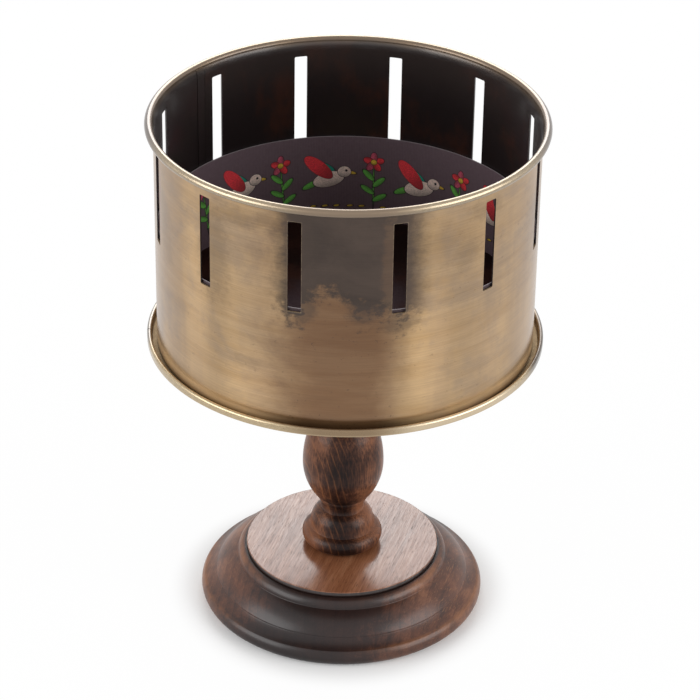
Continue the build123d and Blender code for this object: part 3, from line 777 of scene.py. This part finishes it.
def walnut_plinth():
    """Satin dark stain on a turned board, whose end grain, front and back, is darker, partly from
    more stain and partly as painted shade.
    """
    s = Shader("walnut_plinth")
    ring, run, side = board_grain(s)
    fibres = s.noise_at(s.join(s.times(run, 0.06), s.times(side, 1.1), s.times(s.z, 1.1)), 5, 0.65)
    dashes = s.noise_at(s.join(s.times(run, 0.22), s.times(side, 1.9), s.times(s.z, 1.9)), 2, 0.5)
    flecks = s.span(dashes, 0.58, 0.7)
    clouds = s.noise((0.035, 0.035, 0.05), 5, 0.6, (6, 1, 2))
    end_grain = s.absolute(s.math("DIVIDE", run, s.radius))
    # the end-grain terms darken the front and back: partly more stain, partly painted shade
    shade = s.add_up(s.times(fibres, 0.2), s.times(clouds, 0.52),
                     s.span(end_grain, 0.7, 0.98, -0.05, -0.22), s.times(end_grain, -0.08),
                     s.times(s.math("SMOOTH_MIN", ring, 0.5, 0.2), 0.08), 0.18)
    colour = s.ramp(shade, *BASE)
    colour = s.mix(s.times(flecks, s.span(end_grain, 0.9, 0.3, 0.03, 0.6)), colour, BASE_FLECK)
    worn = s.times(worn_edges(s), s.span(clouds, 0.4, 0.6, 0.05, 0.45),
                   s.span(end_grain, 0.98, 0.6))
    colour = s.mix(worn, colour, BASE_WORN)
    # painted shade in the groove between the disc and the ring
    painted_groove_shade = s.times(s.span(s.radius, ring_inner + 0.9, ring_inner), s.span(s.radius, 40, 41))
    colour = s.mix(s.times(painted_groove_shade, 0.8), colour, BASE_GROOVE_PAINTED_SHADE)
    return s.set(Base_Color=colour, Roughness=s.span(fibres, 0.3, 0.7, 0.36, 0.48),
                 Specular_IOR_Level=0.08, Coat_Weight=0.4, Coat_Roughness=0.3, Coat_IOR=1.7,
                 Normal=s.bump(fibres, 0.12, 0.05))


def walnut_disc():
    """The plinth's flat top, on which the grain runs straight and the varnish is glossier."""
    s = Shader("walnut_disc")
    ring, run, side = board_grain(s)
    fibres = s.noise_at(s.join(s.times(run, 0.05), s.times(side, 1.3), 0), 5, 0.7)
    broad = s.noise_at(s.join(s.times(run, 0.015), s.times(side, 0.16), 3), 4, 0.6)
    pores = s.noise_at(s.join(s.times(run, 0.16), s.times(side, 2.4), 5), 3, 0.6)
    pores = s.span(pores, 0.56, 0.68)
    shade = s.add_up(s.times(fibres, 0.5), s.times(broad, 0.5), s.times(ring, 0.05))
    colour = s.ramp(shade, *DISC)
    colour = s.mix(s.times(pores, 0.75), colour, DISC_PORE)
    # painted shade on the disc's upright edge
    colour = s.mix(s.span(s.z, plinth_top - 0.25, plinth_top - 0.5), colour, DISC_EDGE_PAINTED_SHADE)
    gloss = s.times(s.span(pores, 0, 1, 1, 0.2), s.span(fibres, 0.35, 0.65, 0.5, 1.05), 0.95)
    return s.set(Base_Color=colour, Roughness=s.span(fibres, 0.3, 0.7, 0.34, 0.46),
                 Specular_IOR_Level=0.15, Coat_Weight=gloss, Coat_Roughness=0.19, Coat_IOR=1.65,
                 Normal=s.bump(fibres, 0.2, 0.04))


# -------- card, steel and felt

CARD = (0.105, 0.068, 0.08), (0.158, 0.108, 0.126)
CARD_EDGE, CARD_BACK = (0.24, 0.2, 0.21), (0.055, 0.034, 0.038)
INK, CREAM, CRIMSON = (0.02, 0.014, 0.016), (0.9, 0.72, 0.62), (0.85, 0.05, 0.065)
PINK, LEAF = (0.58, 0.09, 0.15), (0.15, 0.5, 0.08)
TEAL, YELLOW = (0.016, 0.3, 0.21), (0.75, 0.5, 0.05)
BRIGHT_BRASS = (0.42, 0.28, 0.11), (0.62, 0.44, 0.2)
STEEL = (0.3, 0.3, 0.31), (0.5, 0.5, 0.52)
FELT = (0.01, 0.03, 0.018), (0.03, 0.07, 0.045)


def card():
    """Purple-grey card with fine upright ribs, a pale cut edge, and small pictures inside."""
    s = Shader("card_strip")
    ribs = s.math("SINE", s.times(s.turn, math.tau / math.degrees(rib_pitch / strip_radius)))
    weave = s.noise((0.6, 0.6, 0.6), 4, 0.6)
    colour = s.mix(s.add_up(s.times(ribs, 0.22), weave), *CARD)
    colour = print_frames(s, colour)
    colour = s.mix(s.span(s.z, strip_top - 0.35, strip_top - 0.15), colour, CARD_EDGE)
    outer_face = s.times(s.below(s.facing_in, -0.5), s.below(s.z, strip_top - 0.1))
    colour = s.mix(outer_face, colour, CARD_BACK)
    return s.set(Base_Color=colour, Roughness=0.62, Normal=s.bump(ribs, 0.1, 0.05))


class Print:
    """A picture painted in its frame on the card, in mm from the frame's middle and foot."""

    def __init__(self, s, below, u, v):
        self.s, self.out, self.u, self.v = s, below, u, v
        grain = s.noise((1.2, 1.2, 2.2), 2, 0.5)
        self.hatching = s.span(grain, 0.35, 0.65, 0.8, 1.15)

    def oval(self, across, up, half_long, half_wide, tilt, colour, shift_u=0, shift_v=0):
        """Paints one inked and hatched oval over what is there."""
        s = self.s
        du = s.less(s.less(self.u, shift_u), across)
        dv = s.less(s.less(self.v, shift_v), up)
        cosine, sine = s.math("COSINE", tilt), s.math("SINE", tilt)
        long_way = s.add_up(s.times(du, cosine), s.times(dv, sine))
        wide_way = s.less(s.times(dv, cosine), s.times(du, sine))
        far = s.root_of_squares(s.times(long_way, 1 / half_long), s.times(wide_way, 1 / half_wide))
        line = 0.28 / half_wide
        lit = s.gain(colour, self.hatching)
        lit = s.mix(s.span(wide_way, 0.25 * half_wide, -half_wide, 0, 0.55), lit, INK)
        inked = s.mix(s.span(far, 1 + line, 1), self.out, INK)
        self.out = s.mix(s.span(far, 1, 1 - line), inked, lit)


def print_flower(picture, sway):
    """A stalk, leaves, petals and heart that lean with the sway, above a row of dots."""
    s, oval = picture.s, picture.oval
    foot_at, middle_up, head_up = 14.5, 22, 36
    oval(foot_at, middle_up, 13.5, 0.5, s.add_up(sway, math.pi / 2), LEAF)
    for up, lean in ((13, 0.55), (17.5, 2.55), (22.5, 0.75), (26.5, 2.35)):
        oval(foot_at + 4 * math.cos(lean), up + 1.5, 4.6, 1.7, s.add_up(sway, lean), LEAF,
             s.times(sway, middle_up - up))
    head_shift = s.times(sway, middle_up - head_up)
    for petal in range(5):
        lean = 0.3 + petal * math.tau / 5
        oval(foot_at + 3.1 * math.cos(lean), head_up + 3.1 * math.sin(lean), 3, 2, lean,
             PINK if petal % 2 else CRIMSON, head_shift)
    oval(foot_at, head_up, 1.7, 1.7, 0, YELLOW, head_shift)
    for across in (-19, -12.5, -6, 1.5, 8, 20):
        oval(across, 8.6, 1.9, 0.7, 0.12, YELLOW)


def print_bird(picture, bob, beat):
    """A far wing, tail, body, beak, head, eye and near wing."""
    s, oval = picture.s, picture.oval
    wing_lift = s.add_up(bob, 6)
    oval(-11.5, 26.6, 7.6, 2.9, s.add_up(beat, -1.25), TEAL, s.times(beat, -3), wing_lift)
    oval(-20.2, 22, 5.6, 1.9, 0.42, LEAF, 0, bob)
    oval(-10.5, 25, 9, 4.7, 0.25, CREAM, 0, bob)
    oval(2.2, 29, 2.8, 1, -0.15, YELLOW, 0, bob)
    oval(-1.8, 29.6, 3.8, 3.4, 0, CREAM, 0, bob)
    oval(-0.7, 30.3, 0.6, 0.6, 0, INK, 0, bob)
    oval(-11.5, 26.6, 4, 10.2, beat, CRIMSON, s.times(beat, -5.6), wing_lift)


def print_frames(s, card_colour):
    """Twelve steps of a bird beating its wings beside a swaying flower, one step to each slot."""
    place = s.add_up(s.times(s.turn, slot_count / 360), slot_count / 2 + frame_shift)
    frame_width = math.tau * (strip_radius - strip_thickness) / slot_count
    u = s.centred(s.math("FRACT", place), -frame_width)
    phase = s.times(s.math("FLOOR", place), math.tau / slot_count)
    picture = Print(s, card_colour, u, s.less(s.z, strip_foot))
    print_flower(picture, s.times(s.math("SINE", phase), 0.16))
    print_bird(picture, s.times(s.math("SINE", phase), 2.2), s.times(s.math("COSINE", phase), 0.85))
    inside = s.below(s.radius, strip_radius - strip_thickness / 2)
    return s.mix(inside, card_colour, picture.out)


def plain_metal(name, low, high, roughness):
    """Small turned metal pieces: fine turning lines round the axis."""
    s = Shader(name)
    lines = s.noise_at(s.join(0, s.times(s.z, 2), s.times(s.radius, 2)), 4, 0.7)
    return s.set(Base_Color=s.ramp(lines, (0.3, low), (0.7, high)), Metallic=1,
                 Roughness=s.span(lines, 0.2, 0.8, roughness - 0.06, roughness + 0.06))


def felt():
    """Dark green felt with a short nap."""
    s = Shader("felt_green")
    fuzz = s.noise((1.5, 1.5, 1.5), 5, 0.8)
    return s.set(Base_Color=s.ramp(fuzz, (0.3, FELT[0]), (0.7, FELT[1])), Roughness=0.95,
                 Normal=s.bump(fuzz, 0.8, 0.3))


# -------- pieces


def build_plinth(material, disc_material):
    """The turned base. The flat disc on top of it has its own material."""
    widest_z = plinth_foot + nose_widest_rise
    levels = accumulate(plinth_runs, initial=plinth_foot)
    nose_foot_z, bevel_foot_z, bevel_top_z, crease_top_z, brow_top_z = levels
    groove_z = plinth_top - disc_rise
    brow_top = ring_inner + ring_width
    bevel_top = brow_top + brow_run
    bevel_foot = bevel_top + bevel_run
    recess = reach("felt_pad") + felt_clearance
    profile = arc_through((plinth_radius - foot_undercut, nose_foot_z), (plinth_radius, widest_z),
                          (bevel_foot, bevel_foot_z))
    profile += bulge((bevel_foot, bevel_foot_z), (bevel_top, bevel_top_z), -bevel_hollow)[1:]
    profile += bulge((bevel_top, crease_top_z), (brow_top, brow_top_z), brow_bulge)
    profile += bulge((brow_top, brow_top_z + ring_side_rise),
                     (ring_inner, groove_z + groove_depth), ring_bulge)
    profile += [(ring_inner, groove_z), (disc_radius, groove_z), (disc_radius, plinth_top),
                (0, plinth_top), (0, felt_top), (recess, felt_top), (recess, plinth_foot)]
    piece = turned("plinth", soften(profile, plinth_edge), "stand", "walnut_plinth", material,
                   ["base_plinth"])
    piece.data.materials.append(disc_material)
    disc_foot = (groove_z + 0.5) * MM
    for face in piece.data.polygons:
        on_disc = face.center.z > disc_foot and face.center.xy.length < disc_radius * MM
        face.material_index = int(on_disc)


def build_stem(material):
    """The turned baluster, from plinth to drum."""
    (foot_z, torus_foot, torus_top, band_top_z, shoulder_top, collar_foot, collar_top, crest,
     bulb_top_z, neck_z, bead_top, shaft_top, capital_foot
     ) = accumulate(stem_runs, initial=plinth_top)
    neck_foot = (bulb_top - neck_shoulder, bulb_top_z + neck_shoulder_drop)
    profile = [(0, foot_z), (foot_ring, foot_z), (foot_ring, torus_foot)]
    profile += arc_through((torus_seat, torus_foot), (torus_radius, (torus_foot + torus_top) / 2),
                           (band_bottom, torus_top), 24)
    profile += bulge((band_top, band_top_z), (waist, shoulder_top), shoulder_swell)
    profile += bulge((waist, shoulder_top), (collar, collar_foot), -waist_hollow)[1:]
    profile += [(collar, collar_top)]
    profile += tangent_arc((bulb, crest), (bulb_foot, collar_top))[::-1]
    profile += tangent_arc((bulb, crest), (bulb_top, bulb_top_z))[1:]
    profile += tangent_arc((neck, neck_z), neck_foot)[::-1]
    profile += [(bead - bead_edge, neck_z), (bead, neck_z + bead_edge),
                (bead, bead_top - bead_edge), (bead - bead_edge, bead_top), (shaft, bead_top)]
    profile += tangent_arc((shaft, shaft_top), (capital - capital_lip, capital_foot))
    profile += [(capital, capital_foot), (capital, stem_top), (0, stem_top)]
    turned("baluster", soften(profile, stem_edge), "stand", "walnut_stem", material, ["stem"])


def build_wall(material):
    """The rolled sheet with its slots, rim and lap seam."""
    heights = [wall_foot, wall_foot + 8, floor_z + 20, slot_foot_z, slot_foot_z + slot_corner,
               (slot_foot_z + slot_top_z) / 2, slot_top_z - slot_corner, slot_top_z]
    first_row, last_row = heights.index(slot_foot_z), heights.index(slot_top_z) - 1
    path = [(0, z) for z in heights]
    flare_foot_z = rim_centre_z - rim_flare_height
    flare_steps, roll_steps, plain_steps = 8, 40, 20
    for step in range(flare_steps):
        share = step / flare_steps
        path.append((rim_flare * share ** 2, flare_foot_z + rim_flare_height * share))
    roll = ((wall_inner + rim_flare + rim_roll, rim_centre_z), 180, 180 - rim_turn, roll_steps)
    inner = [(wall_inner + spread, z) for spread, z in path] + arc(roll[0], rim_roll, *roll[1:])
    outer = [(wall_radius + spread, z) for spread, z in path]
    outer += arc(roll[0], rim_roll - wall_sheet, *roll[1:])
    half = math.degrees(slot_width / 2 / wall_radius)
    corner = math.degrees(slot_corner / wall_radius)
    offsets = [-half, -half + corner, 0, half - corner, half]
    last_cell = len(offsets) - 2
    pitch = 360 / slot_count
    offsets += [half + (pitch - 2 * half) * i / plain_steps for i in range(1, plain_steps)]
    angles = [slot_first_angle + pitch * n + off for n in range(slot_count) for off in offsets]
    rounded = 1 - math.cos(math.radians(45))

    def keeps(column, row):
        """Leaves the slots out, but for their rounded corners."""
        place = column % len(offsets)
        if place > last_cell or not first_row <= row <= last_row:
            return True
        if place not in (0, last_cell) or row not in (first_row, last_row):
            return False
        left, low = place == 0, row == first_row
        at = ((0, 1), (3, 2))[low][left]
        return at, rounded if left else 1 - rounded, rounded if low else 1 - rounded

    points, faces = spun_sheet(inner, outer, angles, keeps)
    lap_turn = math.degrees(lap_width / wall_inner)
    lap_path = [(0, floor_z + lap_foot_rise), (0, flare_foot_z),
                (rim_flare / 4, flare_foot_z + rim_flare_height / 2), (rim_flare, rim_centre_z)]
    lap_points, lap_faces = spun_sheet(
        [(wall_inner - lap_thickness + spread, z) for spread, z in lap_path],
        [(wall_inner + wall_sheet / 2 + spread, z) for spread, z in lap_path],
        [lap_angle + lap_turn * i / 4 for i in range(5)], whole_turn=False)
    faces += [[index + len(points) for index in face] for face in lap_faces]
    new_object("slotted_wall", points + lap_points, faces, "drum", "antique_brass", material,
               ["drum_wall"])


def build_pan(material):
    """The spun floor, its skirt, and the lip curled up round the wall's foot."""
    hem_round = hem_width / 2
    hem_centre = (lip_radius - hem_round, pan_foot + hem_height - hem_round)
    hem_inner = lip_radius - hem_width
    corner = (skirt_radius - skirt_corner, floor_z - skirt_corner)
    floor_rings = (hub_spigot, 40, 80, corner[0])
    lip_z = pan_foot + pan_sheet
    upper = [(radius, floor_z) for radius in floor_rings] + arc(corner, skirt_corner, 90, 0, 6)[1:]
    lower = [(radius, floor_z - pan_sheet) for radius in floor_rings]
    lower += arc(corner, skirt_corner - pan_sheet, 90, 0, 6)[1:]
    upper += [(skirt_radius, lip_z + hem_turn_up), (skirt_radius, lip_z)]
    lower += [(skirt_radius - pan_sheet, lip_z + hem_turn_up), (skirt_radius - pan_sheet, pan_foot)]
    hem_row = len(upper)
    upper += [(hem_inner - hem_turn_up, lip_z), (hem_inner, lip_z + hem_turn_up)]
    lower += [(hem_inner + 0.1, pan_foot), (hem_inner + pan_sheet, pan_foot + hem_turn_up)]
    upper += arc(hem_centre, hem_round, 180, 0, 16) + [(lip_radius, pan_foot + lip_drop)]
    lower += arc(hem_centre, hem_round - pan_sheet, 180, 0, 16)
    lower += [(lip_radius - pan_sheet, pan_foot + lip_drop)]
    gap = math.degrees(lip_joint_width / lip_radius)
    first = lip_joint_angle + gap / 2
    angles = [first - gap] + [first + (360 - gap) * i / RING_STEPS for i in range(RING_STEPS)]

    def keeps(column, row):
        """Leaves the lip's joint open."""
        return column > 0 or row <= hem_row

    sheet = spun_sheet(lower, upper, angles, keeps)
    new_object("pan_and_lip", *sheet, "drum", "antique_brass", material, ["drum_pan"])


def build_strip(material):
    """The card strip, whose ends nearly meet."""
    gap = math.degrees(strip_joint_width / strip_radius)
    first = strip_joint_angle + gap / 2
    angles = [first + (360 - gap) * i / RING_STEPS for i in range(RING_STEPS + 1)]
    faces_at = (strip_radius - strip_thickness, strip_radius)
    inner, outer = ([(radius, strip_foot), (radius, strip_top)] for radius in faces_at)
    sheet = spun_sheet(inner, outer, angles, whole_turn=False)
    new_object("card_strip", *sheet, "strip", "card", material, ["picture_strip"])


def dress(material, *nodes):
    """Gives CAD nodes that stay as they are their material."""
    for name in nodes:
        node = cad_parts[name]
        node.data.materials.clear()
        node.data.materials.append(material)


def build_object():
    build_plinth(walnut_plinth(), walnut_disc())
    build_stem(walnut_stem())
    build_wall(brass_wall())
    build_pan(brass_pan())
    build_strip(card())
    dress(plain_metal("bright_brass", *BRIGHT_BRASS, 0.3), "stem_cap", "stem_cap_pins",
          "cap_nut", "hub", "hub_bush", "hub_backing_ring", "hub_rivets")
    dress(plain_metal("steel", *STEEL, 0.32), "stem_screw", "screw_washer", "spindle",
          "jam_nut", "thrust_washer", "top_washer", "rim_wire")
    dress(felt(), "felt_pad")


# -------- stage, light and camera

FLOOR_REACH_M = 6
FLOOR_TONE = (0.96, 0.96, 0.96, 1)
SHADOW_REACH = 20
GLOW_AT_PLINTH, GLOW_AWAY = 0.12, 0.96
WORLD_LIGHT = 0.45

# Place and target in m, width and height in m, and watts
LAMPS = (
    ("key", (-1.87, -0.83, 0.85), (0, 0, 0.15), (1.7, 1.5), 29),
    ("fill", (1.89, -0.8, 0.85), (0, 0, 0.15), (1.7, 1.5), 28),
    ("back", (0, 1.75, 1.35), (0, 0, 0.1), (1.2, 1.2), 16),
)

CAMERA_PLACE = (0, -1354.65, 942.19)
YAW, PITCH, ROLL = math.radians(0.116), math.radians(30.228), 0.0165
FOCAL_PX, FRAME_PX, SENSOR_MM = 2931, 700, 36
CLIP_END_M = 50


def seeing_rays(nodes):
    """1 for rays from the camera, a gloss or a clear piece, and 0 for those that only light."""
    camera, glossy, clear = (nodes.node("LightPath", (), ray) for ray in
                             ("Is Camera Ray", "Is Glossy Ray", "Is Transmission Ray"))
    return nodes.most(camera, nodes.most(glossy, clear))


def build_stage():
    """A pale floor that goes white for the camera and for gloss, but keeps the object's shadow."""
    size = FLOOR_REACH_M
    mesh = bpy.data.meshes.new("floor")
    mesh.from_pydata([(-size, -size, 0), (size, -size, 0), (size, size, 0), (-size, size, 0)], [],
                     [(0, 1, 2, 3)])
    floor = linked("floor", mesh)
    s = Shader("pale_floor")
    glow_share = s.span(s.radius, plinth_radius - 2, plinth_radius + SHADOW_REACH, GLOW_AT_PLINTH,
                        GLOW_AWAY)
    diffuse, glow = s.node("BsdfDiffuse", (FLOOR_TONE,)), s.node("Emission", ())
    blend = s.node("MixShader", (s.times(seeing_rays(s), glow_share), diffuse, glow))
    s.put(s.find("OUTPUT_MATERIAL").inputs["Surface"], blend)
    mesh.materials.append(s.material)


def build_world():
    """White where it is seen, and dimmer as a light."""
    world = bpy.data.worlds.new("studio")
    bpy.context.scene.world = world
    world.use_nodes = True
    nodes = Nodes(world.node_tree)
    background = nodes.find("BACKGROUND")
    background.inputs["Color"].default_value = (1, 1, 1, 1)
    more = nodes.times(seeing_rays(nodes), 1 - WORLD_LIGHT)
    nodes.put(background.inputs["Strength"], nodes.add_up(more, WORLD_LIGHT))


def build_lamp(name, place, target, size, watts):
    """A soft rectangular lamp that the camera doesn't see."""
    data = bpy.data.lights.new(name, "AREA")
    data.shape = "RECTANGLE"
    data.size, data.size_y = size
    data.energy = watts
    lamp = linked(name, data)
    lamp.location = place
    lamp.rotation_euler = (Vector(target) - Vector(place)).to_track_quat("-Z", "Y").to_euler()
    lamp.visible_camera = False


def build_camera():
    """The photograph's camera: place, angle and lens fitted to the drum's and base's edges."""
    ahead = Vector((math.sin(YAW) * math.cos(PITCH), math.cos(YAW) * math.cos(PITCH),
                    -math.sin(PITCH)))
    level = ahead.cross(Vector((0, 0, 1))).normalized()
    upright = level.cross(ahead)
    right = level * math.cos(ROLL) + upright * math.sin(ROLL)
    up = upright * math.cos(ROLL) - level * math.sin(ROLL)
    data = bpy.data.cameras.new("camera")
    data.sensor_width = SENSOR_MM
    data.lens = FOCAL_PX * SENSOR_MM / FRAME_PX
    data.clip_end = CLIP_END_M
    camera = linked("camera", data)
    turn = Matrix((right, up, -ahead)).transposed().to_4x4()
    camera.matrix_world = Matrix.Translation([mm * MM for mm in CAMERA_PLACE]) @ turn
    bpy.context.scene.camera = camera


build_object()
build_stage()
build_world()
for lamp in LAMPS:
    build_lamp(*lamp)
build_camera()
bpy.context.scene.view_settings.view_transform = "Standard"
